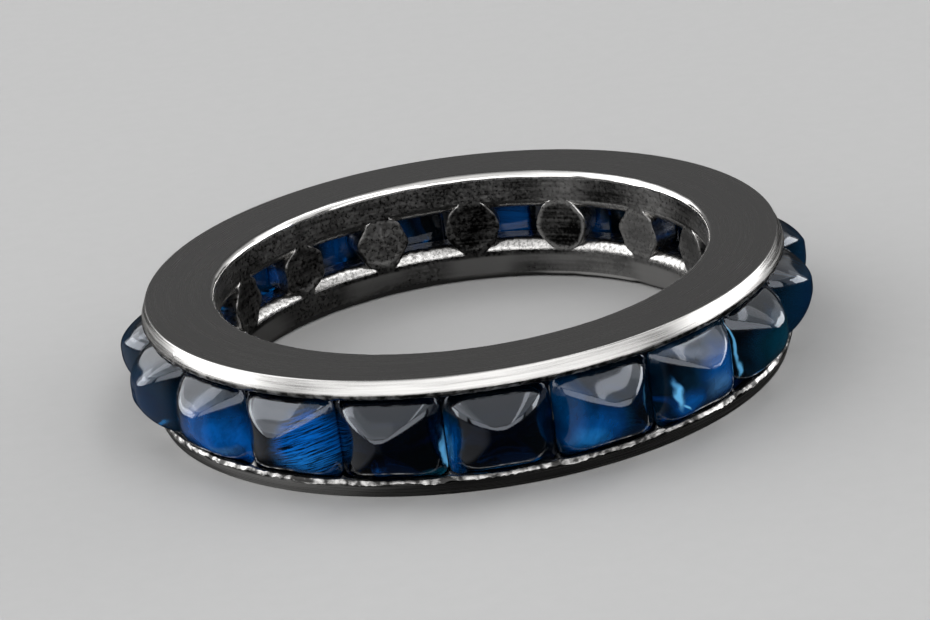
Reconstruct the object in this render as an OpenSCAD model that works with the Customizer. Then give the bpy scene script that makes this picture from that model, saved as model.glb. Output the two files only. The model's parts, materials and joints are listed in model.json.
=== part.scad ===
// Eternity ring: a channel-set full band of square sugarloaf cabochons, lying on its side.
// Units are millimetres. The bore axis is +Z, the ring rests on z = 0, and -Y is its front.
// Angles run round +Z from the front, towards +X.

/* [Band] */
// Inside diameter, a finger of US size 6
finger_d = 16.5; // [15:0.1:19]
// Width of the band, measured along the finger
band_w = 3.95; // [3.6:0.05:4.6]
// Radial depth of the side rails, from the bore to the rim
rail_depth = 2.5; // [2.2:0.05:3.2]
// Thickness of each side rail
rail_t = 0.5; // [0.35:0.01:0.7]
// Radial thickness of the pierced wall under the stones
wall_t = 1.0; // [0.7:0.05:1.3]
// Rounding of the two bore edges
bore_round = 0.21; // [0.05:0.01:0.3]
// Rounding of the outer rim edges
rim_round = 0.06; // [0.02:0.01:0.1]
// How far each rim leans in from its lip to the side face
rim_lean = 0.17; // [0.05:0.01:0.25]

/* [Setting lips and beads] */
// Radial depth of the lip that is burnished over the stones, from the rim down
lip_depth = 0.3; // [0.15:0.01:0.45]
// How far the lip leans in over the channel
lip_lean = 0.1; // [0.04:0.01:0.14]
// Radius of the beads pushed up between neighbouring stones
bead_r = 0.15; // [0.08:0.01:0.18]
// Depth of a bead's centre below the rim
bead_drop = 0.12; // [0.05:0.01:0.2]
// Height of a bead's centre above the rail's inner face
bead_lift = 0.06; // [0.02:0.01:0.08]

/* [Gallery] */
// Number of windows cut through the wall
window_count = 16; // [12:1:18]
// Height of the windows between their sills
window_h = 1.2; // [0.9:0.02:1.5]
// Rounding of the sills, from the finger's side of the wall into the window
sill_round = 0.4; // [0.2:0.02:0.5]
// Diameter of the round posts left between the windows
post_d = 1.85; // [1.4:0.05:2.1]
// Width of the neck that ties each post to the two lands
neck_w = 0.7; // [0.4:0.05:1.2]
// Angle of the first post from the front
first_post = -4; // [-11:0.5:11]

/* [Stones] */
// Number of stones round the band
stone_count = 19; // [17:1:24]
// Angle of the first stone from the front
first_stone = 2.8; // [-9:0.1:9]
// Height of a stone's tip above the rim
tip_rise = 0.95; // [0.6:0.05:1.3]
// Half the angle that each crown face arches through
face_arch = 25; // [10:1:30]
// Radius of the cut corners at the girdle
corner_r = 0.4; // [0.25:0.05:0.6]
// Depth ground off the two ends of a stone, which leaves a narrow flat at its girdle
girdle_flat = 0.02; // [0.01:0.01:0.05]
// Clearance between a stone and the side rails
rail_gap = 0.05; // [0.03:0.01:0.08]
// Clearance between a stone's back and the wall
seat_gap = 0.04; // [0.03:0.01:0.08]
// Clearance between neighbouring stones
stone_gap = 0.12; // [0.08:0.01:0.2]
// Radial distance of the girdle's ends below the foot of the lip
girdle_drop = 0.05; // [0.02:0.01:0.15]

/* [Hidden] */
$fn = 180;
bore_r = finger_d / 2;
rim_r = bore_r + rail_depth;
wall_r = bore_r + wall_t;
mid_z = band_w / 2;
channel_half = mid_z - rail_t;

// Faces that a cutter passes through are overrun by this much
overrun = 0.5;

post_pitch = 360 / window_count;
stone_pitch = 360 / stone_count;

side_face_r = rim_r - rim_lean;
lip_foot_r = rim_r - lip_depth;
seat_r = wall_r + seat_gap;
// A girdle is straight and the lip is round, so the girdle's ends set how high it may sit
girdle_r = (lip_foot_r - girdle_drop) * cos(stone_pitch / 2);
tip_r = rim_r + tip_rise;
side_half = channel_half - rail_gap;
girdle_half = keystone_half(girdle_r);
end_half = girdle_half - girdle_flat;

stone_names = [for (i = [1 : stone_count]) str("stone_", i < 10 ? "0" : "", i)];

metal = [0.76, 0.76, 0.74];
sapphire = [0.04, 0.13, 0.38];

// Half the width of a stone at radius r: its share of the circle less half the gap
function keystone_half(r) = r * tan(stone_pitch / 2) - stone_gap / 2;

// Turns a piece that was drawn along +X so that it stands at an angle from the front
module at_angle(angle) {
    rotate([0, 0, angle - 90])
        children();
}

// Repeats a piece that was drawn on the lower rail on the upper one
module both_rails_2d() {
    children();
    translate([0, band_w])
        mirror([0, 1])
            children();
}

// What a rounding of radius r takes off a square corner at the origin
module corner_waste(r) {
    difference() {
        translate([-overrun, -overrun])
            square([r + overrun, r + overrun]);
        translate([r, r])
            circle(r);
        translate([r, -overrun])
            square([r, r + overrun]);
        translate([-overrun, r])
            square([r + overrun, r]);
    }
}

// Section of one side rail and its lip, radius across and height up
module rail_section() {
    difference() {
        polygon([
            [bore_r, 0],
            [side_face_r, 0],
            [side_face_r, rim_round],
            [rim_r, rail_t + lip_lean - rim_round],
            [rim_r - rim_round, rail_t + lip_lean],
            [rim_r - lip_depth / 3, rail_t + lip_lean],
            [lip_foot_r, rail_t],
            [bore_r, rail_t]
        ]);
        translate([bore_r, 0])
            corner_waste(bore_round);
        translate([side_face_r, 0])
            mirror([1, 0])
                corner_waste(rim_round);
    }
}

// Section of the whole channel: two side rails joined by the wall
module channel_section() {
    both_rails_2d()
        rail_section();
    translate([bore_r, rail_t / 2])
        square([wall_t, band_w - rail_t]);
}

// Section of the belt that the windows are cut from: level sills, rounded towards the finger
module window_section() {
    translate([bore_r - 2 * overrun, mid_z - window_h / 2])
        square([wall_t + 3 * overrun, window_h]);
    both_rails_2d()
        translate([bore_r, mid_z - window_h / 2])
            mirror([0, 1])
                corner_waste(sill_round);
}

// One post: a round plate seen from the finger, with a neck up and down to the lands
module post() {
    reach = wall_t + 4 * overrun;
    translate([bore_r - 2 * overrun, 0, mid_z]) {
        rotate([0, 90, 0])
            cylinder(d = post_d, h = reach);
        translate([0, -neck_w / 2, -channel_half])
            cube([reach, neck_w, 2 * channel_half]);
    }
}

// The belt less the posts: every window at once
module windows() {
    difference() {
        rotate_extrude()
            window_section();
        for (k = [0 : window_count - 1])
            at_angle(first_post + k * post_pitch)
                post();
    }
}

// A pair of beads, one on each lip, in the gap beside a stone. Each is turned so that its poles
// and its seam lie inside the metal of the lip
module bead_pair() {
    for (side = [-1, 1])
        translate([rim_r - bead_drop, 0, mid_z + side * (channel_half - bead_lift)])
            rotate([90, -90 * side, 0])
                sphere(bead_r, $fn = 48);
}

// All the metal, which is soldered into one piece
module band() {
    color(metal) {
        difference() {
            rotate_extrude()
                channel_section();
            windows();
        }
        for (k = [0 : stone_count - 1])
            at_angle(first_stone + (k + 0.5) * stone_pitch)
                bead_pair();
    }
}

// A crown seen end on, radius across: two discs overlap in a pointed arch, and each disc's
// edge runs through the tip and through one end of the girdle, half a width from the middle
module pointed_arch(half) {
    crown_h = tip_r - girdle_r;
    chord = norm([crown_h, half]);
    arc_r = chord / 2 / sin(face_arch);
    inset = arc_r * cos(face_arch) / chord;
    centre = [girdle_r + crown_h / 2 - half * inset, half / 2 - crown_h * inset];
    intersection() {
        translate(centre)
            circle(arc_r);
        mirror([0, 1])
            translate(centre)
                circle(arc_r);
    }
}

// Section of a stone along the band: a flat back and keystone flanks under the arch
module along_section() {
    far_r = tip_r + overrun;
    intersection() {
        pointed_arch(girdle_half);
        polygon([
            [seat_r, -keystone_half(seat_r)],
            [far_r, -keystone_half(far_r)],
            [far_r, keystone_half(far_r)],
            [seat_r, keystone_half(seat_r)]
        ]);
    }
}

// Outline of a stone seen from its tip, height across: a rectangle with rounded corners
module girdle_outline() {
    square([2 * side_half, 2 * (end_half - corner_r)], center = true);
    square([2 * (side_half - corner_r), 2 * end_half], center = true);
    for (u = [-1, 1])
        for (v = [-1, 1])
            translate([u * (side_half - corner_r), v * (end_half - corner_r)])
                circle(corner_r);
}

// One sugarloaf, its tip along +X: two arches crossed, within the outline of the girdle
module sugarloaf() {
    intersection() {
        linear_extrude(height = 2 * (side_half + overrun), center = true)
            along_section();
        rotate([90, 0, 0])
            linear_extrude(height = 2 * (girdle_half + overrun), center = true)
                pointed_arch(side_half);
        translate([seat_r - overrun, 0, 0])
            rotate([0, 90, 0])
                linear_extrude(height = tip_r - seat_r + 2 * overrun)
                    girdle_outline();
    }
}

// The stone that stands i places round from the first one
module stone(i) {
    color(sapphire)
        at_angle(first_stone + i * stone_pitch)
            translate([0, 0, mid_z])
                sugarloaf();
}

band();
for (i = [0 : stone_count - 1])
    stone(i);
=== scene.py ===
import json
from math import cos, radians, sin, tan

import bpy
import numpy as np
from mathutils import Matrix, Vector


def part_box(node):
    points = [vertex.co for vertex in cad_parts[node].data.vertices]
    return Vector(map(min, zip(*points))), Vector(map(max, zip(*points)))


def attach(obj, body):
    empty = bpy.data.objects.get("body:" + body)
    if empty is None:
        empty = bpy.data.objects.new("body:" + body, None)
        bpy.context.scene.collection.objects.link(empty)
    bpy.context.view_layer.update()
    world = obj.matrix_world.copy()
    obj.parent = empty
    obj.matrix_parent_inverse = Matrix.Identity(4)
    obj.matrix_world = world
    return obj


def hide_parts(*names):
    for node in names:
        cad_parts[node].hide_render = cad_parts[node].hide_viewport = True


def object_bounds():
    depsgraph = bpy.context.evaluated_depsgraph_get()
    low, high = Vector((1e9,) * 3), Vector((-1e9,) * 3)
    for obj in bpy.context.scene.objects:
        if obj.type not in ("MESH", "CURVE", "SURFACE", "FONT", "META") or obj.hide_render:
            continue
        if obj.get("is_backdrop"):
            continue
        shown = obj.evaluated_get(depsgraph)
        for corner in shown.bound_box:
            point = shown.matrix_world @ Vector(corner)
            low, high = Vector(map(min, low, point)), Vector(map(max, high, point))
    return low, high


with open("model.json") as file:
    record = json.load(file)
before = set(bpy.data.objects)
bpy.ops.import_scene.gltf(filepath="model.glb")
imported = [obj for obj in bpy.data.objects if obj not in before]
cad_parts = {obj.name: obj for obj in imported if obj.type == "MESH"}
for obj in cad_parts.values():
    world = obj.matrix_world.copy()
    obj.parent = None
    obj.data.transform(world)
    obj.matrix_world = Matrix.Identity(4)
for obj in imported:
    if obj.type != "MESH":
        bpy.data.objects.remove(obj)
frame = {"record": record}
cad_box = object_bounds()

# An eternity ring lying on its side. Shapes are worked out in millimetres and stored in metres.
# Angles run round the finger hole from the front (-Y) towards +X. A height is measured from the
# middle of the band, so a shape on the upper rail is mirrored onto the lower one by its sign.
MM = 0.001

# The band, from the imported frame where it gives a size
band_low, band_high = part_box("band")
BAND_W = (band_high[2] - band_low[2]) / MM
RIM_R = (band_high[0] - band_low[0]) / 2 / MM
MOUNTS = {m["name"]: m for m in frame["record"]["mounts"]}
BORE_R = MOUNTS["finger_hole"]["dims"]["r_mm"]
MID_Z = BAND_W / 2
# Thickness of a side rail, and of the pierced wall that the finger touches
RAIL_T = 0.5
WALL_T = 1.0
WALL_R = BORE_R + WALL_T
CHANNEL_HALF = MID_Z - RAIL_T
# Rounding of the bore's edges and of a rim's edge, and how far the rim swells past the side face
BORE_ROUND = 0.21
EDGE_ROUND = 0.05
RIM_DOME = 0.17
# How deep the setting lip is, and how far it leans over the channel
LIP_DEPTH = 0.3
LIP_LEAN = 0.1
LIP_FOOT_R = RIM_R - LIP_DEPTH

# The gallery: windows with round posts between them, each tied to the two lands by a neck
WINDOWS = 16
FIRST_POST = -4.0
POST_PITCH = 360 / WINDOWS
POST_R = 0.925
NECK_HALF = 0.35
POST_EDGE = 0.05
# Half the height of a window at the bore, at its throat SILL_DEPTH further in, and at its back.
# A sill's rounding starts at the bore already turned by SILL_START
WINDOW_HALF_BORE = 0.97
WINDOW_HALF_THROAT = 0.60
WINDOW_HALF_BACK = WINDOW_HALF_THROAT + 0.03
SILL_DEPTH = 0.42
SILL_START = radians(20)
# Half the height of the belt that is laid window by window
TILE_HALF = 1.13
# A post's plate, in shares of its radius: where its dish ends and how wide the step up from it
# is, where its filed face and the dull frame round that end, and how wide their edges are
DISH_EDGE = 0.84
DISH_STEP = 0.14
PLATE_EDGE = 0.88
FRAME_EDGE = 1.03
FINISH_STEP = 0.05

# The stones, with their clearances to the wall, to the rails and to each other
STONES = 19
FIRST_STONE = 2.8
STONE_PITCH = 360 / STONES
TIP_RISE = 0.95
SEAT_GAP = 0.04
RAIL_GAP = 0.05
STONE_GAP = 0.02
GIRDLE_DROP = 0.05
TIP_R = RIM_R + TIP_RISE
SEAT_R = WALL_R + SEAT_GAP
SIDE_HALF = CHANNEL_HALF - RAIL_GAP
GIRDLE_R = (LIP_FOOT_R - GIRDLE_DROP) * cos(radians(STONE_PITCH / 2))

# Columns round the band: one tile of the gallery has TILE_COLS, and the lips have twice as many
TILE_COLS = 38
COLS = WINDOWS * TILE_COLS
FINE = 2 * COLS
# Steps up the side of a window
SIDE_STEPS = 28
# Corners nearer than this are one corner
MERGE_MM = 2e-5


# Numbers turned into meshes
def ring_points(angle, radius, height):
    """Angle in degrees, radius and height above mid band, as points: x = r sin a, y = -r cos a."""
    a = np.radians(angle)
    a, r, h = np.broadcast_arrays(a, radius, height)
    return np.stack([r * np.sin(a), -r * np.cos(a), h + MID_Z], axis=-1)


def waves(angle, seed, lowest, highest, count):
    """A smooth wander round the ring, about -1 to 1: a sum of cosines of whole-number frequencies
    between lowest and highest, with phases and shares drawn from the seed."""
    rng = np.random.default_rng(seed)
    freq = rng.integers(lowest, highest + 1, count)
    phase = rng.uniform(0, 2 * np.pi, count)
    share = rng.uniform(0.4, 1.0, count)
    a = np.radians(np.asarray(angle, float))[..., None]
    return (share * np.cos(freq * a + phase)).sum(-1) / np.sqrt((share**2).sum() * 2) / 1.2


def toward(value, target, by):
    """The value, drawn towards the target by a share of the way."""
    return value + (target - value) * by


def quads_between(first, second):
    """Quads that join two closed rows of corner numbers of equal length, row to row."""
    return np.stack([first, np.roll(first, -1), np.roll(second, -1), second], axis=-1)


def fan(row, pole):
    """Triangles from a closed row of corner numbers to one pole."""
    return np.stack([row, np.roll(row, -1), np.full(len(row), pole)], axis=-1)


def make_mesh(name, points, faces, outward=True):
    """A mesh from points in millimetres and a list of arrays of corner numbers, smooth shaded.
    Where outward is false, every face is turned round."""
    faces = [f if outward else f[:, ::-1] for f in faces if len(f)]
    corners = np.concatenate([f.ravel() for f in faces]).astype(np.int32)
    sizes = np.concatenate([np.full(len(f), f.shape[1]) for f in faces])
    mesh = bpy.data.meshes.new(name)
    mesh.vertices.add(len(points))
    mesh.vertices.foreach_set("co", (np.asarray(points) * MM).astype(np.float32).ravel())
    mesh.loops.add(len(corners))
    mesh.loops.foreach_set("vertex_index", corners)
    mesh.polygons.add(len(sizes))
    mesh.polygons.foreach_set("loop_start", (np.cumsum(sizes) - sizes).astype(np.int32))
    mesh.polygons.foreach_set("use_smooth", np.ones(len(sizes), bool))
    mesh.update(calc_edges=True)
    mesh.validate()
    return mesh


def add_piece(name, mesh, material, crease=40):
    """An object at the origin that rides on the ring, its edges sharper than crease kept crisp."""
    mesh.set_sharp_from_angle(angle=radians(crease))
    mesh.materials.append(material)
    piece = bpy.data.objects.new(name, mesh)
    bpy.context.scene.collection.objects.link(piece)
    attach(piece, "root")
    return piece


# The band
class Shell:
    """Points and faces of one surface while its rows are laid down. filed is how far a point was
    left dull from the file, from 0 for polished metal to 1, and pale is how light the filed
    metal is."""

    def __init__(self):
        self.points, self.filed, self.pale, self.faces, self.count = [], [], [], [], 0

    def row(self, points, filed=0.0, pale=0.0):
        """Adds a row of points and returns their corner numbers."""
        self.points.append(np.asarray(points, float).reshape(-1, 3))
        self.filed.append(np.broadcast_to(filed, len(self.points[-1])))
        self.pale.append(np.broadcast_to(pale, len(self.points[-1])))
        numbers = np.arange(self.count, self.count + len(self.points[-1]))
        self.count += len(numbers)
        return numbers

    def join(self, first, second, flip):
        """Joins two closed rows. Where the second has twice the corners of the first, or half,
        each long edge meets two short ones in three triangles."""
        if len(first) == len(second):
            made = quads_between(first, second)
        elif len(second) == 2 * len(first):
            after, left, mid = np.roll(first, -1), second[::2], second[1::2]
            right = np.roll(left, -1)
            made = np.concatenate([
                np.stack([first, mid, left], -1),
                np.stack([first, after, mid], -1),
                np.stack([after, right, mid], -1),
            ])
        else:
            return self.join(second, first, not flip)
        self.faces.append(made[:, ::-1] if flip else made)

    def join_all(self, rows, flip):
        """Joins each row to the next."""
        for first, second in zip(rows, rows[1:]):
            self.join(first, second, flip)

    def all_faces(self):
        """Faces gathered by their number of corners."""
        return [np.concatenate([f for f in self.faces if f.shape[1] == n]) for n in (3, 4)]


def rail_section(angle, side):
    """Radius and height of each row of one rail, from the front of the gallery over the bore
    edge, the side face and the rim, down inside the channel to the back of the gallery: straight
    runs, quarter circles at the edges, and a dome of a power a little over 1 on the rim, each
    with its own wander round the ring. side is 1 for the upper rail and -1 for the lower. A row
    is (fine, radius, height)."""
    seed = 10 if side > 0 else 20
    # The land and the side face have a row or two on the way, and one just short of each edge
    rows = [(False, BORE_R, h) for h in (TILE_HALF, 1.45, MID_Z - BORE_ROUND - 0.04)]
    dent = 0.012 * waves(angle, seed + 1, 7, 60, 12)
    for t in np.radians(np.linspace(0, 90, 7)):
        rows.append((
            False,
            BORE_R + BORE_ROUND * (1 - np.cos(t)) + dent * np.sin(2 * t),
            MID_Z - BORE_ROUND * (1 - np.sin(t)) - np.abs(dent) * np.sin(2 * t),
        ))
    side_face_r = RIM_R - RIM_DOME
    past_bore, short_of_rim = BORE_R + BORE_ROUND + 0.04, side_face_r - EDGE_ROUND - 0.06
    for r in (past_bore, BORE_R + 0.65, BORE_R + 1.45, short_of_rim):
        rows.append((False, r, MID_Z))
    for t in np.radians(np.linspace(0, 90, 4)):
        rows.append((
            False,
            side_face_r - EDGE_ROUND + EDGE_ROUND * np.sin(t),
            MID_Z - EDGE_ROUND + EDGE_ROUND * np.cos(t),
        ))
    lip_edge = CHANNEL_HALF - LIP_LEAN
    dome_low, dome_top = lip_edge + 0.10, MID_Z - EDGE_ROUND
    wander = 0.006 * waves(angle, seed + 4, 3, 40, 12)
    for t in (0.93, 0.8, 0.62, 0.44, 0.28, 0.14):
        radius = RIM_R - RIM_DOME * t**1.25 + wander * np.sin(np.pi * t)
        rows.append((False, radius, dome_low + (dome_top - dome_low) * t))
    # The lip is pushed down a little further in the gap between each two stones
    gap = np.abs((angle - FIRST_STONE) % STONE_PITCH - STONE_PITCH / 2)
    claw = np.exp(-(gap**2))
    burr = waves(angle, seed + 2, 90, 300, 40) + 0.5 * waves(angle, seed + 3, 20, 90, 20)
    edge = lip_edge + 0.016 * burr - 0.05 * claw
    # The graver bevelled the lip's edge, and burnishing pushed it over the stones, unevenly and
    # more so on the lower lip
    rough = 1.0 if side > 0 else 1.5
    bevel = rough * (0.075 + 0.03 * waves(angle, seed + 5, 8, 50, 14)) + 0.010 * burr
    push = rough * (0.022 + 0.022 * waves(angle, seed + 6, 8, 50, 14)) + 0.006 * burr
    # Each row of the lip by its depth below the rim, how far it strays from that, and its height
    lip = (
        (0.002, 0.3 * wander, edge + bevel + 0.01),
        (0.008, 0.0, edge + bevel - 0.005),
        (0.05, 0.006 * burr, edge + 0.006),
        (0.065, 0.006 * burr, edge - 0.2 * push),
        (0.11, 0.010 * burr, edge - 0.7 * push),
        (0.16, 0.012 * burr, edge - push),
        (0.20, 0.008 * burr, edge + 0.01),
    )
    rows += [(True, RIM_R - depth + stray, height) for depth, stray, height in lip]
    channel = (
        (LIP_FOOT_R, CHANNEL_HALF - 0.035),
        (LIP_FOOT_R - 0.1, CHANNEL_HALF),
        (WALL_R + 0.05, CHANNEL_HALF),
        (WALL_R, CHANNEL_HALF - 0.05),
        (WALL_R, TILE_HALF),
    )
    return rows + [(False, radius, height) for radius, height in channel]


def land_finish(angle, side):
    """How dull and how pale the land of one side is: the upper land is evenly dull and the lower
    one is less dull in patches, lighter there by wear and by painted reflection, and both have
    wide pale patches. A patch is a wander round the ring, cut off at 0 and 1."""
    bare_sheen = np.clip(waves(angle, 77, 2, 12, 9), 0, 1)
    filed = 0.98 + 0 * bare_sheen if side > 0 else 0.94 - 0.25 * bare_sheen
    return filed, np.clip(0.15 + 0.75 * waves(angle, 64 + side, 2, 14, 10), 0, 1)


def lay_rail(shell, side):
    """One rail as a strip of closed rows round the ring. Its first three rows lie on the land."""
    fine_angle = FIRST_POST + np.arange(FINE) * 360 / FINE
    land = land_finish(fine_angle[::2], side)
    rows = []
    for n, (fine, radius, height) in enumerate(rail_section(fine_angle, side)):
        points = ring_points(fine_angle, radius, side * height)
        finish = land if n < 3 else (0.0, 0.0)
        rows.append(shell.row(points if fine else points[::2], *finish))
    shell.join_all(rows, side < 0)


# What the hand of the maker gave each post: its size, how far its plate is six-sided, the turn of
# its corners, how deep its face is dished, how wide its necks are, how dull and how pale its
# plate is, and how dull the frame round that is. The last three are listed for the posts in view
POST_RNG = np.random.default_rng(7)
IN_VIEW = slice(5, 12)
POST_SIZE = POST_R * POST_RNG.uniform(0.93, 1.03, WINDOWS)
POST_HEX = POST_RNG.uniform(0.02, 0.07, WINDOWS)
POST_TURN = POST_RNG.uniform(0, 2 * np.pi, WINDOWS)
POST_DISH = POST_RNG.uniform(0.0, 0.05, WINDOWS)
POST_NECK = NECK_HALF * POST_RNG.uniform(0.8, 1.3, WINDOWS)
POST_FILED = POST_RNG.uniform(0.8, 1.0, WINDOWS)
POST_FILED[IN_VIEW] = 0.95, 0.94, 1.0, 1.0, 0.97, 1.0, 0.97
POST_PALE = POST_RNG.uniform(0.0, 0.6, WINDOWS)
POST_PALE[IN_VIEW] = 0.3, 0.75, 0.0, 0.0, 1.0, 0.15, 0.0
POST_FRAME = POST_RNG.uniform(0.6, 0.95, WINDOWS)
POST_FRAME[IN_VIEW] = 0.7, 0.6, 0.2, 0.95, 0.9, 0.8, 0.7
# How far the sills of each window, the lower and the upper, are bowed and raised
SILL_TILT = POST_RNG.uniform(-0.03, 0.03, (WINDOWS, 2))
SILL_LIFT = POST_RNG.uniform(-0.05, 0.0, (WINDOWS, 2))


def post_radius(k, turn):
    """Radius of post k's plate in the direction turn: a circle drawn towards a hexagon, and
    filed a little unevenly."""
    uneven = 0.02 * waves(np.degrees(turn), 120 + k, 2, 11, 6)
    return POST_SIZE[k] * (1 + POST_HEX[k] * np.cos(6 * turn + POST_TURN[k]) + uneven)


def post_side(k, up, facing):
    """How far post k reaches across at each height up: the larger of its round plate and its
    neck, run into each other by a root of fourth powers. facing is 1 on its +across side."""
    turn = np.arcsin(np.clip(up / POST_SIZE[k], -1, 1))
    radius = post_radius(k, turn if facing > 0 else np.pi - turn)
    plate = np.sqrt(np.clip(radius**2 - up**2, 0, None))
    return (plate**4 + POST_NECK[k] ** 4) ** 0.25


def window_outline(k, radius, half, shrink=0.0):
    """The outline of the window between posts k and k + 1 on a cylinder of that radius, as angle
    from post k and height: a sill that waves a little above and below, and a post's edge at each
    side. It runs along the top, down the far side, back along the bottom and up the near side.
    half is the height of the two sills over mid band, one number or one for each column of each
    sill, and shrink narrows the posts."""
    t = np.linspace(0, 1, TILE_COLS + 1)
    bow = np.sin(np.pi * t) * (1 - 2 * t)
    top, bottom = np.broadcast_to(half, (2, TILE_COLS + 1)).copy()
    top += SILL_LIFT[k, 1] + SILL_TILT[k, 0] * bow
    bottom += SILL_LIFT[k, 0] + SILL_TILT[k, 1] * bow
    spread = np.sin(np.pi / 2 * np.linspace(1, -1, SIDE_STEPS + 1))
    deg = np.degrees(1 / radius)
    sides = []
    for post, facing, end in ((k, 1, 0), (k + 1, -1, -1)):
        up = np.where(spread > 0, spread * top[end], spread * bottom[end])
        reach = (post_side(post % WINDOWS, up, facing) - shrink) * deg
        sides.append((reach if facing > 0 else POST_PITCH - reach, up))
    (near_a, near_h), (far_a, far_h) = sides
    top_a = near_a[0] + (far_a[0] - near_a[0]) * t
    bottom_a = near_a[-1] + (far_a[-1] - near_a[-1]) * t
    angle = np.concatenate([top_a[:-1], far_a[:-1], bottom_a[:0:-1], near_a[:0:-1]])
    height = np.concatenate([top[:-1], far_h[:-1], -bottom[:0:-1], near_h[:0:-1]])
    return angle, height


def tile_border():
    """The border of one tile, from post to post, with its corners numbered as an outline's."""
    t = np.linspace(0, 1, TILE_COLS + 1)[:-1]
    s = np.linspace(0, 1, SIDE_STEPS + 1)[:-1]
    angle = np.concatenate([POST_PITCH * t, 0 * s + POST_PITCH, POST_PITCH * (1 - t), 0 * s])
    height = np.concatenate([0 * t + 1, 1 - 2 * s, 0 * t - 1, 2 * s - 1]) * TILE_HALF
    return angle, height


def near_posts(k, angle, height):
    """For each post beside tile k, its number, and at each point the direction from the middle
    of its plate and the distance from there as a share of the plate's radius."""
    for post, centre in ((k, 0.0), (k + 1, POST_PITCH)):
        post %= WINDOWS
        across = np.radians(angle - centre) * BORE_R
        turn = np.arctan2(height, across)
        yield post, turn, np.hypot(across, height) / post_radius(post, turn)


def plate_depth(k, angle, height):
    """How deep the finger side of the gallery lies behind the bore at a point of tile k: each
    post's plate is dished inside a polished border, by a smooth step of the distance from the
    middle of the post."""
    depth = np.zeros_like(angle)
    for post, _, share in near_posts(k, angle, height):
        step = np.clip((DISH_EDGE - share) / DISH_STEP, 0, 1)
        depth += POST_DISH[post] * step * step * (3 - 2 * step)
    return depth


def filing(k, angle, height):
    """How dull and how pale the finger side of the gallery is at a point of tile k: the lands by
    their height, each post's plate by its own numbers, and a frame that runs round each plate,
    its width a wander of the direction."""
    round_ring = FIRST_POST + k * POST_PITCH + angle
    upper, lower = land_finish(round_ring, 1), land_finish(round_ring, -1)
    filed, pale = (np.where(height > 0, *finish) for finish in zip(upper, lower))
    for post, turn, share in near_posts(k, angle, height):
        wander = 0.05 * waves(np.degrees(turn), 80 + post, 1, 7, 6)
        plate = np.clip((PLATE_EDGE + wander - share) / FINISH_STEP, 0, 1)
        border = np.clip((FRAME_EDGE - share) / FINISH_STEP, 0, 1) * (1 - plate)
        filed = toward(filed, POST_FILED[post], plate)
        filed = toward(filed, POST_FRAME[post], border)
        pale = toward(pale, POST_PALE[post], np.clip((1.0 - share) / FINISH_STEP, 0, 1))
    return filed, pale


def lay_tile(shell, k):
    """One tile of the gallery: its face towards the finger, the rounded sills and post edges of
    its window, the tunnel behind them, and its face towards the stones, as closed rows from the
    front border to the back one."""
    start = FIRST_POST + k * POST_PITCH
    border = tile_border()
    column = np.arange(TILE_COLS + 1) * 360 / TILE_COLS
    lump = np.stack([waves(column, 50 + 2 * k + n, 1, 9, 7) for n in (0, 1)])
    rows = []

    def lay(angle, radius, height, filed=0.0, pale=0.0):
        """Lays a row at angles counted from post k."""
        rows.append(shell.row(ring_points(start + angle, radius, height), filed, pale))

    def at_depth(turn):
        """The window where the rounding of its sills has turned this far into the wall, with its
        radius and the mean height of its sills: the sills fall by the sine of the turn, their
        depth grows by its cosine, and the posts' edges are quarter circles."""
        fall = (np.sin(turn) - np.sin(SILL_START)) / (1 - np.sin(SILL_START))
        depth = SILL_DEPTH * (np.cos(SILL_START) - np.cos(turn)) / np.cos(SILL_START)
        half = WINDOW_HALF_BORE - (WINDOW_HALF_BORE - WINDOW_HALF_THROAT) * fall
        half = half + 0.03 * lump * np.sin(np.pi * fall) - 0.015 * lump
        near = max(0.0, 1 - depth / POST_EDGE)
        shrink = POST_EDGE * (1 - np.sqrt(1 - near**2))
        return window_outline(k, BORE_R + depth, half, shrink), BORE_R + depth, half.mean()

    face, _, _ = at_depth(SILL_START)
    for t in (0, 0.2, 0.4, 0.56, 0.7, 0.82, 0.93):
        a, h = (toward(x, y, t) for x, y in zip(border, face))
        lay(a, BORE_R + plate_depth(k, a, h), h, *filing(k, a, h))
    for turn in np.linspace(SILL_START, np.pi / 2, 9):
        (a, h), radius, half = at_depth(turn)
        # The sills are polished, and the edges of a post are as dull as its frame
        post = np.where(a < POST_PITCH / 2, k, k + 1) % WINDOWS
        lay(a, radius, h, POST_FRAME[post] * np.clip((half - 0.06 - np.abs(h)) / 0.08, 0, 1))
    throat = (a, h)
    back = window_outline(k, WALL_R, WINDOW_HALF_BACK)
    for t in (0.2, 0.5, 0.8, 1.0):
        a, h = (toward(x, y, t) for x, y in zip(throat, back))
        lay(a, toward(radius, WALL_R, t), h)
    for t in (0.15, 0.6, 1.0):
        a, h = (toward(x, y, t) for x, y in zip(back, border))
        lay(a, WALL_R, h)
    shell.join_all(rows, True)


def band_mesh():
    """The whole band as one closed surface: two rails and the tiles between them, whose borders
    fall on each other and are merged."""
    shell = Shell()
    for side in (1, -1):
        lay_rail(shell, side)
    for k in range(WINDOWS):
        lay_tile(shell, k)
    points = np.concatenate(shell.points)
    # Corners that fall together are given one number
    cell = np.round(points / MERGE_MM).astype(np.int64)
    _, first, number = np.unique(cell, axis=0, return_index=True, return_inverse=True)
    faces = [number.ravel()[f] for f in shell.all_faces()]
    mesh = make_mesh("band_metal", points[first], faces, outward=False)
    for name, values in (("filed", shell.filed), ("pale", shell.pale)):
        layer = mesh.attributes.new(name, "FLOAT", "POINT")
        layer.data.foreach_set("value", np.concatenate(values)[first].astype(np.float32))
    return mesh


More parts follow.
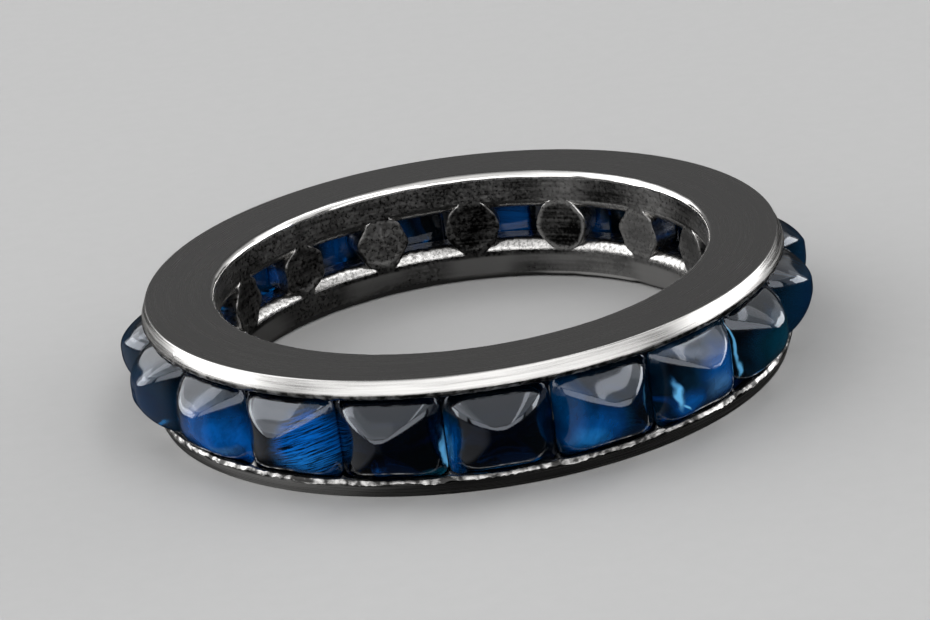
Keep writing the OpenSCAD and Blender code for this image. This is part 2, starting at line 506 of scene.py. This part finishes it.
def grain_mesh(rounds=9, steps=14):
    """The grains of metal pushed up at the lips between the stones, one mesh of closed drops.
    Each is a ball pulled to a point towards mid band: across, up and out are the ball's own
    coordinates times three half sizes, and across narrows as up grows."""
    lat = np.linspace(-np.pi / 2, np.pi / 2, rounds)[1:-1, None]
    lon = np.arange(steps)[None] * 2 * np.pi / steps
    ball = [np.cos(lat) * np.cos(lon), np.cos(lat) * np.sin(lon), np.sin(lat) + 0 * lon]
    ball = np.stack(ball, -1).reshape(-1, 3)
    ball = np.concatenate([ball, [[0, 0, 1], [0, 0, -1]]])
    x, y, z = ball.T
    point = np.clip(z, 0, 1)
    rows = np.arange((rounds - 2) * steps).reshape(rounds - 2, steps)
    quads = np.concatenate([quads_between(a, b) for a, b in zip(rows, rows[1:])])
    tris = np.concatenate([fan(rows[-1], len(ball) - 2), fan(rows[0], len(ball) - 1)[:, ::-1]])
    rng = np.random.default_rng(31)
    # The smallest and the largest half sizes, across, up and out, and how far a grain leans
    smallest, largest = (0.20, 0.20, 0.10, -0.03), (0.29, 0.34, 0.15, 0.03)
    points, all_quads, all_tris = [], [], []
    for k in range(2 * STONES):
        side = 1 if k < STONES else -1
        wide, tall, thick, skew = rng.uniform(smallest, largest)
        across = wide * x * (1 - 0.72 * point) + skew * z
        height = side * (CHANNEL_HALF + 0.02 - tall * z)
        radius = RIM_R - 0.17 + thick * y - 0.16 * point
        angle = FIRST_STONE + (k % STONES + 0.5) * STONE_PITCH + np.degrees(across / RIM_R)
        points.append(ring_points(angle, radius, height))
        for made, kept in ((quads, all_quads), (tris, all_tris)):
            kept.append((made if side > 0 else made[:, ::-1]) + k * len(ball))
    faces = [np.concatenate(all_tris), np.concatenate(all_quads)]
    return make_mesh("grain_beads", np.concatenate(points), faces)


# The stones
def arch(share, half, arch_angle, crown_h):
    """Height of a crown face above the girdle, where share runs from 1 at the girdle to 0 at the
    tip: the arc of a circle through both, which turns through twice the arch angle."""
    chord = np.hypot(crown_h, half)
    arc_r = chord / 2 / np.sin(np.radians(arch_angle))
    inset = arc_r * np.cos(np.radians(arch_angle)) / chord
    mid_w, mid_v = crown_h / 2 - half * inset, half / 2 - crown_h * inset
    return mid_w + np.sqrt(arc_r**2 - (share * half - mid_v) ** 2)


def rounded_outline(half_u, half_v, corner, straight=18, turn=9):
    """A rectangle with rounded corners as a closed row of points, counted the same way for any
    size, from the middle of the +u side towards +v."""
    t = np.linspace(-1, 1, straight + 1)[:-1]
    a = np.linspace(0, np.pi / 2, turn + 1)[:-1]
    cu, cv = half_u - corner, half_v - corner
    sides = []
    for q in range(4):
        c, s = cos(q * np.pi / 2), sin(q * np.pi / 2)
        reach, run = (half_u, cv) if q % 2 == 0 else (half_v, cu)
        edge_x, edge_y = 0 * t + reach, t * run
        bend_x, bend_y = reach - corner + corner * np.cos(a), run + corner * np.sin(a)
        x, y = np.concatenate([edge_x, bend_x]), np.concatenate([edge_y, bend_y])
        sides.append(np.stack([c * x - s * y, s * x + c * y], -1))
    return np.concatenate(sides)


def flank_half(radius, trim):
    """Half the width of a stone at a radius: its share of the circle, less half the gap."""
    return radius * tan(radians(STONE_PITCH / 2)) - STONE_GAP / 2 - trim


def stone_rows(cut, half_u, half_v):
    """Rows of one stone from its back to its tip, as points (out, across, up): a flat back with a
    narrow bevel, keystone flanks, and a crown of four arched faces. The crown's height is the
    arch of a share that is the p-norm of across / half and up / half, so a large p gives crisp
    ridges and a small one rounded ridges, and the tip is blunted by a root of squares."""
    trim, corner, blunt, p = cut["trim"], cut["corner"], cut["blunt"], cut["ridge"]
    crown_h = cut["tip"] - GIRDLE_R
    tip_u, tip_v = cut["lean"]
    rows = []

    def crown_w(uv):
        """How far out the crown lies at each point."""
        a, b = np.abs(uv[:, 0] / half_u), np.abs(uv[:, 1] / half_v)
        s = (a**p + b**p + 1e-12) ** (1 / p)
        share = np.minimum(np.sqrt(s * s + blunt * blunt * (1 - np.minimum(s, 1)) ** 2), 1)
        top = arch(blunt, half_v, cut["arch"], crown_h)
        return GIRDLE_R + arch(share, half_v, cut["arch"], crown_h) * crown_h / top

    def lay(w, uv):
        """Lays the outline uv at w, one radius or one for each point."""
        rows.append(np.column_stack([np.broadcast_to(w, len(uv)), uv]))

    for w, inset in ((SEAT_R, 0.5), (SEAT_R, 0.06), (SEAT_R + 0.02, 0.02), (SEAT_R + 0.06, 0)):
        half = flank_half(w, trim)
        lay(w, rounded_outline(half, half_v, corner) * (1 - inset / half))
    flank_top = GIRDLE_R - 0.10
    for t in (0.35, 0.7, 1.0):
        w = SEAT_R + (flank_top - SEAT_R) * t
        lay(w, rounded_outline(flank_half(w, trim), half_v, corner))
    girdle = rounded_outline(half_u, half_v, corner)
    rim_w = crown_w(girdle)
    lay((rim_w + flank_top) / 2, girdle)
    lay(rim_w - 0.004, girdle)
    for t in np.concatenate([[0.003, 0.012, 0.03], np.linspace(0.06, 0.97, 24)]):
        # The rows draw in towards the tip, which may stand a little off the middle
        uv = girdle * (1 - t)
        lay(crown_w(uv), uv + np.array([tip_u * t * t, tip_v * t * t]))
    return rows


def stone_mesh(i, cut):
    """Stone i: its rows closed by a fan at the tip and one at the back, a little uneven from hand
    cutting by a mean of cosines, and set in its place round the ring. Its map runs from 0 to 1
    across the stone and up it."""
    half_u = flank_half(GIRDLE_R, cut["trim"])
    half_v = SIDE_HALF - 0.5 * cut["trim"]
    laid = stone_rows(cut, half_u, half_v)
    ends = [[cut["tip"], *cut["lean"]], [SEAT_R, 0, 0]]
    local = np.concatenate(laid + [ends])
    count = len(local)
    rng = np.random.default_rng(400 + i)
    k, phase = rng.uniform(1.2, 3.2, (5, 2)), rng.uniform(0, 6.3, 5)
    uneven = np.cos(local[:, 1:] @ k.T + phase).mean(-1)
    rise = np.clip((local[:, 0] - GIRDLE_R) / (cut["tip"] - GIRDLE_R), 0, 1)
    local[:, 0] -= cut["uneven"] * (1 + uneven) * rise * (1.2 - rise)
    rows = np.arange(count - 2).reshape(len(laid), -1)
    quads = np.concatenate([quads_between(a, b) for a, b in zip(rows, rows[1:])])
    tris = np.concatenate([fan(rows[-1], count - 2), fan(rows[0], count - 1)[:, ::-1]])
    angle = radians(FIRST_STONE + i * STONE_PITCH)
    out = np.array([sin(angle), -cos(angle), 0])
    along = np.array([cos(angle), sin(angle), 0])
    w, u, v = local.T
    points = w[:, None] * out + u[:, None] * along + (v + MID_Z)[:, None] * np.array([0, 0, 1])
    mesh = make_mesh(f"stone_{i + 1:02d}_cut", points, [tris, quads])
    uv = np.column_stack([u / half_u, v / half_v]) / 2 + 0.5
    corners = np.empty(len(mesh.loops), np.int32)
    mesh.loops.foreach_get("vertex_index", corners)
    layer = mesh.uv_layers.new(name="facet")
    layer.uv.foreach_set("vector", uv[corners].astype(np.float32).ravel())
    return mesh


# Materials
class Nodes:
    """A tree of shader nodes. Each method after add puts in one node and returns its result."""

    def __init__(self, tree):
        self.tree = tree

    def feed(self, node, inputs):
        """Links each of these inputs to a socket, or sets it to a value."""
        for key, value in dict(inputs).items():
            if isinstance(value, bpy.types.NodeSocket):
                self.tree.links.new(value, node.inputs[key])
            else:
                node.inputs[key].default_value = value

    def add(self, kind, inputs=(), **settings):
        """A node with its settings and its inputs."""
        node = self.tree.nodes.new(kind)
        for key, value in settings.items():
            setattr(node, key, value)
        self.feed(node, inputs)
        return node

    def math(self, kind, *values):
        """A sum, a product or the like of numbers."""
        return self.add("ShaderNodeMath", enumerate(values), operation=kind).outputs[0]

    def times(self, first, second):
        """The product of two numbers."""
        return self.math("MULTIPLY", first, second)

    def vector(self, kind, *values):
        """The same for vectors. A length is the node's second result."""
        node = self.add("ShaderNodeVectorMath", enumerate(values), operation=kind)
        return node.outputs[1 if kind == "LENGTH" else 0]

    def split(self, vector):
        """The three parts of a vector."""
        return self.add("ShaderNodeSeparateXYZ", {0: vector}).outputs

    def combine(self, *parts):
        """A vector of these parts."""
        return self.add("ShaderNodeCombineXYZ", enumerate(parts)).outputs[0]

    def spread(self, value, low, high, first, last, eased="LINEAR"):
        """first where the value is low and last where it is high, and between them in between."""
        ends = {0: value, 1: low, 2: high, 3: first, 4: last}
        return self.add("ShaderNodeMapRange", ends, interpolation_type=eased).outputs[0]

    def fade(self, value, low, high, first=0.0, last=1.0):
        """A spread that eases in and out. low may be the higher of the two."""
        return self.spread(value, low, high, first, last, "SMOOTHSTEP")

    def noise(self, place, scale, detail, result="Fac", **more):
        """A cloudy pattern of that many clouds per unit."""
        inputs = {"Vector": place, "Scale": scale, "Detail": detail, **more}
        return self.add("ShaderNodeTexNoise", inputs).outputs[result]

    def within(self, vector, turn, size, middle=(0, 0, 0)):
        """A vector as seen from a patch of that middle, turn in degrees and size."""
        inputs = {"Vector": vector, "Location": middle, "Rotation": (0, 0, radians(turn))}
        inputs["Scale"] = size
        return self.add("ShaderNodeMapping", inputs, vector_type="TEXTURE").outputs[0]

    def blend(self, base, other, by):
        """The base number, drawn towards the other by a mask."""
        return self.add("ShaderNodeMix", {0: by, 2: base, 3: other}, data_type="FLOAT").outputs[0]

    def tint(self, base, other, by):
        """The base colour, drawn towards the other by a mask."""
        return self.add("ShaderNodeMix", {0: by, 6: base, 7: other}, data_type="RGBA").outputs[2]


def new_material(name):
    """An empty node material, its main shader and its nodes."""
    material = bpy.data.materials.new(name)
    material.use_nodes = True
    return material, material.node_tree.nodes["Principled BSDF"], Nodes(material.node_tree)


# How light the metal is: polished, on the brushed side faces, in rubbed patches of the lower
# land, lighter by wear and by painted reflection, and inside the channel, dark as painted shade
POLISHED = 0.8
SIDE_FACE = 0.22
RUBBED_LAND_SHEEN = 0.42
CHANNEL_SHADE = 0.12


def white_metal():
    """Platinum: the two side faces brushed in circles and the rims along their length, the bore
    polished, and the gallery left dull from the file and dark. The channel under the stones and
    the edges of the lips are darker as painted shade, and the lower land is lighter in patches,
    by wear and by painted reflection. Each finish is laid over the ones before by a mask of
    place, and its lightness and roughness are spreads of fine noise."""
    material, shader, nodes = new_material("white_metal")
    times, spread, fade, blend = nodes.times, nodes.spread, nodes.fade, nodes.blend
    coords = nodes.add("ShaderNodeTexCoord")
    place = coords.outputs["Object"]
    x, y, z = nodes.split(place)
    across = nodes.combine(x, y)
    radius = nodes.vector("LENGTH", across)
    # A point on the unit circle stands for the angle, so that no seam shows where it wraps
    turn = nodes.split(nodes.vector("NORMALIZE", across))

    def lines(per_turn, per_metre, detail, seed):
        """Marks that run round the ring: noise that changes slowly with the angle and fast with
        the radius and the height."""
        lane = times(nodes.math("ADD", radius, z), per_metre)
        where = nodes.combine(times(turn[0], per_turn), times(turn[1], per_turn), lane)
        inputs = {"Vector": where, "W": seed, "Scale": 1.0, "Detail": detail}
        return nodes.add("ShaderNodeTexNoise", inputs, noise_dimensions="4D").outputs["Fac"]

    fine_lines = lines(3.5, 26000.0, 3.0, 0.0)
    long_lines = lines(2.5, 9000.0, 2.0, 3.0)
    grain = nodes.noise(place, 9000.0, 5.0, Roughness=0.65)
    patch = nodes.noise(place, 900.0, 3.0)

    height = nodes.math("ABSOLUTE", nodes.math("SUBTRACT", z, MID_Z * MM))
    level = nodes.math("ABSOLUTE", nodes.split(coords.outputs["Normal"])[2])
    gallery = nodes.add("ShaderNodeAttribute", attribute_name="filed").outputs["Fac"]
    pale = nodes.add("ShaderNodeAttribute", attribute_name="pale").outputs["Fac"]
    side_face = fade(level, 0.75, 0.95)
    inner = fade(radius, (WALL_R + 0.05) * MM, (WALL_R - 0.05) * MM)
    sills = times(inner, fade(height, 1.15 * MM, 1.0 * MM))
    rim = fade(radius, (RIM_R - 0.35) * MM, (RIM_R - 0.2) * MM)
    lip = times(rim, fade(height, (CHANNEL_HALF + 0.10) * MM, (CHANNEL_HALF + 0.02) * MM))
    lower_land = times(inner, fade(z, 0.92 * MM, 0.80 * MM))
    # Rubbed patches of the lower land: worn metal, made lighter as painted reflection
    rubbed_sheen = times(fade(nodes.noise(place, 170.0, 1.0), 0.48, 0.60), lower_land)
    # The channel under the stones, which is darkened as painted shade
    channel = times(fade(radius, (LIP_FOOT_R + 0.12) * MM, LIP_FOOT_R * MM),
                    fade(radius, (WALL_R - 0.1) * MM, (WALL_R + 0.02) * MM))
    channel = times(channel, fade(height, (CHANNEL_HALF + 0.1) * MM, CHANNEL_HALF * MM))

    rough = blend(spread(grain, 0, 1, 0.08, 0.16), 0.27, sills)
    rough = blend(rough, spread(grain, 0.35, 0.65, 0.22, 0.5), gallery)
    rough = blend(rough, spread(fine_lines, 0.3, 0.7, 0.2, 0.36), rim)
    rough = blend(rough, spread(fine_lines, 0.3, 0.7, 0.20, 0.30), side_face)
    rough = blend(rough, 0.42, rubbed_sheen)

    scuffs = blend(blend(patch, long_lines, 0.45), grain, 0.3)
    dark = spread(scuffs, 0.44, 0.63, 0.006, 0.20)
    dark = nodes.math("MULTIPLY_ADD", pale, 0.24, dark)
    tone = blend(POLISHED, spread(grain, 0.38, 0.55, 0.30, 0.66), sills)
    tone = blend(tone, dark, gallery)
    # Painted reflection and wear: the rubbed patches of the lower land are lighter
    tone = blend(tone, RUBBED_LAND_SHEEN, rubbed_sheen)
    tone = blend(tone, spread(fine_lines, 0.35, 0.62, 0.36, 0.60), rim)
    # Painted shade: the channel under the stones is made dark
    tone = blend(tone, CHANNEL_SHADE, channel)
    # The edge of each lip is broken by the tool that pushed it over, and darkened in patches as
    # painted shade where it overhangs the stones
    nick_and_shade = spread(nodes.noise(place, 2600.0, 4.0), 0.44, 0.60, 0.08, 1.0)
    tone = blend(tone, times(tone, nick_and_shade), lip)
    tone = blend(tone, SIDE_FACE, side_face)
    tone = times(tone, spread(long_lines, 0, 1, 0.95, 1.03))
    warm = {0: tone, 1: times(tone, 0.985), 2: times(tone, 0.965)}

    relief = blend(times(fine_lines, 0.18), times(grain, 0.8), gallery)
    bump = {"Height": relief, "Strength": 0.35, "Distance": 0.02 * MM}
    nodes.feed(shader, {
        "Base Color": nodes.add("ShaderNodeCombineColor", warm).outputs[0],
        "Metallic": 1.0,
        "Roughness": rough,
        "Normal": nodes.add("ShaderNodeBump", bump).outputs[0],
    })
    return material


# The blues of the stones, from clear to the painted lights of needles and caustics inside them
CLEAR_BLUE = (0.01, 0.15, 0.34, 1)
HAZE_BLUE = (0.02, 0.07, 0.16, 1)
ROYAL = (0.0, 0.075, 0.30, 1)
DEEP = (0.0, 0.04, 0.13, 1)
AZURE = (0.0, 0.13, 0.56, 1)
SKY = (0.02, 0.24, 0.62, 1)
# The icy blue is painted highlight, for caustics and glints at the flanks and edges
ICE = (0.16, 0.55, 0.95, 1)
TEAL = (0.0, 0.05, 0.09, 1)
SILK = (0.10, 0.27, 0.50, 1)
MIST = (0.26, 0.32, 0.44, 1)
# The shares of red, green and blue that the stone does not soak up
LET_THROUGH = (0.0, 0.73, 0.80, 1)


def sapphire(name, soak, glows, streak, haze):
    """Deep blue sapphire, clear, its colour taken up along the light's way through it. soak is
    how many times the light is weakened per metre. glows are painted light and shade: lit and
    dark patches in the base colour for light that fine needles send back and the cut focuses,
    each (across, up, half width, half height, turn, strength, colour, core) in shares of the
    stone, and each is an ellipse that fades from its core to its edge.
    streak is (strength, turn, lines across the stone, length) of parallel needles, which break
    up every glow that is not icy, and haze is the share of a thin even cloud."""
    material, shader, nodes = new_material(name)
    math, times = nodes.math, nodes.times
    place = nodes.add("ShaderNodeTexCoord").outputs["Object"]
    facet = nodes.add("ShaderNodeUVMap", uv_map="facet").outputs[0]
    warp = nodes.vector("SUBTRACT", nodes.noise(place, 1100.0, 2.0, "Color"), (0.5, 0.5, 0.5))
    bent, firm, straight = (
        nodes.vector("MULTIPLY_ADD", warp, (amount,) * 3, facet) for amount in (0.22, 0.06, 0.02))

    def share_of(part, rest):
        """The part's share of both."""
        return math("DIVIDE", part, math("ADD", math("ADD", rest, part), 1e-4))

    streaked, lie, lines, length = streak
    if streaked:
        lanes = nodes.within(nodes.vector("ADD", straight, straight), lie, (length, 2 / lines, 1))
        needles = nodes.noise(lanes, 1.0, 4.0, Roughness=0.7)
        needles = nodes.spread(needles, 0.40, 0.58, 1 - streaked, 1.0)
    mask, colour = None, None
    # Each glow is painted light and shade: lit and dark patches laid in the base colour
    for across, up, wide, tall, turn, strength, hue, core in glows:
        near = nodes.within(firm if core > 0.25 else bent, turn, (wide, tall, 1), (across, up, 0))
        far = nodes.vector("LENGTH", nodes.vector("MULTIPLY", near, (1, 1, 0)))
        lit = nodes.fade(far, 1.0, core, 0.0, strength)
        if streaked and hue != ICE:
            lit = times(lit, needles)
        if mask is None:
            mask, colour = lit, hue
        else:
            # An icy glow lies over the others, and any other mixes with them
            colour = nodes.tint(colour, hue, lit if hue == ICE else share_of(lit, mask))
            mask = math("MAXIMUM", mask, lit)
    cloud = nodes.spread(nodes.noise(place, 700.0, 5.0), 0.35, 0.75, 0.0, haze)
    shade = nodes.tint(colour, HAZE_BLUE, share_of(cloud, mask))
    # The share of the painted glows and the real haze, which is matt where the rest is clear
    glow_and_haze = math("MINIMUM", math("ADD", mask, cloud), 1.0)
    nodes.feed(shader, {
        "Base Color": nodes.tint(CLEAR_BLUE, shade, math("MINIMUM", times(glow_and_haze, 4.0), 1.0)),
        "Transmission Weight": math("SUBTRACT", 1.0, glow_and_haze),
        "Roughness": 0.09,
        "IOR": 1.77,
        "Specular Tint": (0.85, 0.90, 1.0, 1),
    })
    inside = nodes.add("ShaderNodeVolumeAbsorption", {"Color": LET_THROUGH, "Density": soak})
    out = [n for n in nodes.tree.nodes if n.type == "OUTPUT_MATERIAL"][0]
    nodes.feed(out, {"Volume": inside.outputs[0]})
    return material


def floor_paper():
    """Pale matt paper that the ring lies on, its lightness a spread of fine noise."""
    material, shader, nodes = new_material("floor_paper")
    grain = nodes.noise(nodes.add("ShaderNodeTexCoord").outputs["Object"], 1500.0, 3.0)
    shade = nodes.spread(grain, 0, 1, 0.37, 0.39)
    nodes.feed(shader, {"Base Color": shade, "Roughness": 0.9})
    return material


# The ring is put together
metal = white_metal()
band = add_piece("band_metal", band_mesh(), metal)
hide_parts("band")
add_piece("grain_beads", grain_mesh(), metal, crease=60)

# The stones differ as hand-cut stones do. Each of these has its number, its soak per metre, its
# glows, its streak and its haze, and the others draw theirs from the seed
NO_STREAK = (0, 0, 1, 1)
# Their glows are painted light and shade, the icy ones painted caustics
SEEN = {
    1: (4600, [
        (0.0, 0.42, 0.05, 0.40, 0, 1.0, SKY, 0.2),
        (0.05, 0.35, 0.12, 0.5, 0, 0.8, ROYAL, 0.2),
        (0.42, 0.075, 0.40, 0.02, 2, 0.9, SKY, 0.3),
    ], (0.7, 84, 16, 1.2), 0.01),
    2: (3400, [
        (0.26, 0.36, 0.42, 0.44, 12, 1.0, ROYAL, 0.1),
        (0.25, 0.25, 0.20, 0.20, 0, 1.0, SKY, 0.1),
        (0.10, 0.62, 0.25, 0.45, 0, 0.8, DEEP, 0.2),
    ], (0.35, 80, 6, 1.2), 0.03),
    3: (3400, [
        (0.25, 0.22, 0.20, 0.30, 0, 0.9, ROYAL, 0.2),
        (0.60, 0.55, 0.40, 0.45, 0, 0.8, ROYAL, 0.1),
        (0.54, 0.42, 0.24, 0.20, 20, 0.7, SILK, 0.1),
        (0.30, 0.86, 0.40, 0.09, -12, 0.2, MIST, 0.1),
        (0.13, 0.42, 0.042, 0.28, 14, 1.0, ICE, 0.2),
        (0.20, 0.25, 0.016, 0.09, 44, 1.0, ICE, 0.3),
        (0.36, 0.13, 0.07, 0.025, 38, 1.0, ICE, 0.3),
    ], (0.25, 30, 7, 1.2), 0.14),
    4: (3400, [
        (0.5, 0.4, 0.5, 0.5, 0, 0.7, TEAL, 0.1),
        (0.035, 0.58, 0.010, 0.42, 3, 1.0, ICE, 0.3),
        (0.065, 0.26, 0.020, 0.16, 10, 1.0, ICE, 0.3),
        (0.26, 0.15, 0.10, 0.025, 14, 1.0, SKY, 0.3),
    ], (0.2, 80, 6, 1.2), 0.02),
    5: (4600, [
        (0.4, 0.4, 0.6, 0.6, 0, 0.3, DEEP, 0.1),
        (0.85, 0.10, 0.3, 0.04, 30, 0.9, SKY, 0.3),
    ], (0.3, 80, 6, 1.2), 0.02),
    6: (4600, [(0.4, 0.4, 0.6, 0.6, 0, 0.3, DEEP, 0.1)], (0.3, 80, 6, 1.2), 0.02),
    15: (5000, [(0.5, 0.4, 0.6, 0.6, 0, 0.3, DEEP, 0.1)], NO_STREAK, 0.02),
    16: (4800, [
        (0.6, 0.4, 0.6, 0.6, 0, 0.35, DEEP, 0.1),
        (0.8, 0.22, 0.14, 0.04, 30, 0.7, SKY, 0.2),
    ], NO_STREAK, 0.02),
    17: (3000, [
        (0.75, 0.42, 0.42, 0.55, 0, 1.0, ROYAL, 0.2),
        (0.84, 0.30, 0.26, 0.34, 0, 0.7, AZURE, 0.1),
        (0.96, 0.35, 0.08, 0.40, 0, 1.0, AZURE, 0.2),
        (0.82, 0.22, 0.13, 0.12, 0, 0.9, SILK, 0.1),
    ], (0.35, 80, 8, 0.6), 0.02),
    18: (4600, [
        (0.82, 0.46, 0.38, 0.52, 0, 1.0, AZURE, 0.25),
        (0.76, 0.26, 0.32, 0.30, 0, 0.8, SKY, 0.1),
    ], (1.0, 15, 46, 0.45), 0.01),
    19: (4800, [
        (1.0, 0.28, 0.05, 0.30, 0, 1.0, ICE, 0.2),
        (0.90, 0.07, 0.25, 0.08, 0, 0.9, TEAL, 0.1),
    ], (0.3, 84, 10, 1.2), 0.01),
}
# How far the tips of the stones in front stand off the middle, across and up
TIPS = {1: (0.0, 0.30), 2: (0.20, 0.12), 3: (-0.1, 0.30), 4: (-0.3, 0.30), 5: (0.0, 0.28),
        6: (0.1, 0.30), 15: (-0.12, 0.28), 16: (0.15, 0.10), 17: (0.25, 0.2), 18: (0.1, 0.2),
        19: (-0.07, 0.2)}
# How much rounder the tips and ridges of the stones at the two sides are worn
WORN = {4: 0.5, 5: 1.0, 6: 1.0, 15: 1.0, 16: 1.0, 17: 0.5}


def stone_cut(number, rng):
    """How a stone is cut: what is trimmed off its flanks, the radius of its tip, how crisp its
    ridges are, the radius of its cut corners, how blunt its tip is and where it stands, the angle
    that each crown face arches through, and how uneven the crown is."""
    worn = WORN.get(number, 0.0)
    return {
        "trim": rng.uniform(0.0, 0.02),
        "tip": TIP_R - rng.uniform(0.0, 0.10) - 0.04 * worn,
        "ridge": rng.uniform(4, 6) - 1.2 * worn,
        "corner": rng.uniform(0.32, 0.45),
        "blunt": rng.uniform(0.16, 0.28) + 0.12 * worn,
        "lean": TIPS.get(number, rng.uniform(-0.10, 0.10, 2)),
        "arch": rng.uniform(24, 29),
        "uneven": 0.012,
    }


def stone_blue(number, rng):
    """The soak, glows, streak and haze of a stone, drawn where they are not given in SEEN."""
    spot, size, turn = rng.uniform(0.2, 0.8, 2), rng.uniform(0.25, 0.5, 2), rng.uniform(0, 180)
    drawn = (rng.uniform(2600, 4200), [(*spot, *size, turn, rng.uniform(0.5, 1.0), ROYAL, 0.2)],
             (rng.uniform(0.2, 0.8), turn, rng.uniform(6, 20), 1.2), rng.uniform(0.01, 0.04))
    return SEEN.get(number, drawn)


for i in range(STONES):
    number = i + 1
    rng = np.random.default_rng(200 + i)
    cut = stone_cut(number, rng)
    blue = sapphire(f"sapphire_{number:02d}", *stone_blue(number, rng))
    name = f"stone_{number:02d}"
    piece = add_piece(f"{name}_cut", stone_mesh(i, cut), blue, crease=55)
    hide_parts(name)


# Floor, light and camera
def lay_floor():
    """A flat square of paper under the ring, reach metres each way."""
    reach = 1.5
    mesh = bpy.data.meshes.new("floor")
    mesh.from_pydata(
        [(-reach, -reach, 0), (reach, -reach, 0), (reach, reach, 0), (-reach, reach, 0)],
        [], [(0, 1, 2, 3)],
    )
    mesh.materials.append(floor_paper())
    floor = bpy.data.objects.new("floor", mesh)
    bpy.context.scene.collection.objects.link(floor)
    # Polish mirrors the dim room and not the paper
    floor.visible_glossy = False
    floor.visible_transmission = False
    floor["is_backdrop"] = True


def soft_light(name, place, aim, width, height, radiance):
    """A soft box of that size in metres at a place, turned to face the aim. Its power is
    pi times its area times the radiance that it shows in a mirror."""
    lamp = bpy.data.lights.new(name, "AREA")
    lamp.shape = "RECTANGLE"
    lamp.size, lamp.size_y = width, height
    lamp.energy = np.pi * width * height * radiance
    box = bpy.data.objects.new(name, lamp)
    box.location = place
    box.visible_camera = False
    box.rotation_euler = (Vector(aim) - Vector(place)).to_track_quat("-Z", "Y").to_euler()
    bpy.context.scene.collection.objects.link(box)


def set_world(level, left, right):
    """A dim room, even above the floor. Below it, where polish alone sees it, the room fades from
    one level at the left to another at the right, by the x of the direction."""
    world = bpy.data.worlds.new("room")
    world.use_nodes = True
    nodes = Nodes(world.node_tree)
    x, _, z = nodes.split(nodes.add("ShaderNodeTexCoord").outputs["Generated"])
    below = nodes.fade(z, 0.0, -0.1)
    shade = nodes.blend(level, nodes.fade(x, -0.75, -0.38, left, right), below)
    nodes.feed(nodes.tree.nodes["Background"], {"Color": shade})
    bpy.context.scene.world = world


# The camera was fitted to the ellipses of the rim and the bore in the photograph: its distance
# from the middle of the ring in rim radii, its height, its roll, its lens, and how far the
# middle of the ring stands from the middle of the frame
CAMERA_DISTANCE = 13.0183 * RIM_R * MM
CAMERA_HEIGHT = radians(20.6604)
CAMERA_ROLL = radians(7.7242)
FOCAL_PX = 4192.5554
OFF_MIDDLE_PX = (2.3162, 2.3866)
FRAME_PX = 930


def set_camera():
    """A camera at the photograph's angle, looking at the middle of the ring: its right and its up
    are turned by the roll about the line from the ring to the camera."""
    data = bpy.data.cameras.new("camera")
    data.sensor_fit = "HORIZONTAL"
    data.sensor_width = 36
    data.lens = FOCAL_PX / FRAME_PX * data.sensor_width
    data.shift_x = -OFF_MIDDLE_PX[0] / FRAME_PX
    data.shift_y = OFF_MIDDLE_PX[1] / FRAME_PX
    data.clip_start = 0.005
    data.clip_end = 10
    back = Vector((0, -cos(CAMERA_HEIGHT), sin(CAMERA_HEIGHT)))
    right, up = Vector((1, 0, 0)), Vector((0, sin(CAMERA_HEIGHT), cos(CAMERA_HEIGHT)))
    x = cos(CAMERA_ROLL) * right - sin(CAMERA_ROLL) * up
    y = sin(CAMERA_ROLL) * right + cos(CAMERA_ROLL) * up
    place = Vector((0, 0, MID_Z * MM)) + back * CAMERA_DISTANCE
    camera = bpy.data.objects.new("camera", data)
    camera.matrix_world = Matrix.Translation(place) @ Matrix((x, y, back)).transposed().to_4x4()
    bpy.context.scene.collection.objects.link(camera)
    bpy.context.scene.camera = camera


lay_floor()
set_world(0.05, left=0.22, right=0.012)
MIDDLE = (0, 0, 0)
# Overhead panels in a row, each by its middle, its width and its radiance
for middle, width, level in ((-0.505, 0.29, 1.7), (-0.29, 0.14, 1.3), (-0.175, 0.09, 1.0),
                             (0, 0.26, 0.75), (0.17, 0.08, 3.0), (0.43, 0.44, 0.8)):
    soft_light("overhead", (middle, -0.06, 0.33), (middle, -0.06, 0), width, 0.65, level)
soft_light("front_strip", (0, -0.26, 0.10), (0, 0, 0.06), 0.90, 0.17, 1.9)
# At each side, a box, a card and a box behind, by their radiances
for side, box, card, back in ((-1, 1.2, 2.7, 1.7), (1, 0.45, 4.2, 0.45)):
    soft_light("side_box", (0.48 * side, 0.10, 0.14), MIDDLE, 0.70, 0.26, box)
    soft_light("side_card", (0.367 * side, 0.098, 0.075), MIDDLE, 0.32, 0.13, card)
    soft_light("back_box", (0.261 * side, 0.204, 0.259), MIDDLE, 0.40, 0.36, back)
soft_light("back_card", (0, 0.30, 0.115), MIDDLE, 0.30, 0.14, 0.14)
set_camera()
bpy.context.scene.view_settings.view_transform = "Standard"

boxes = (cad_box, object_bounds())
[[list(map(float, corner)) for corner in box] for box in boxes]
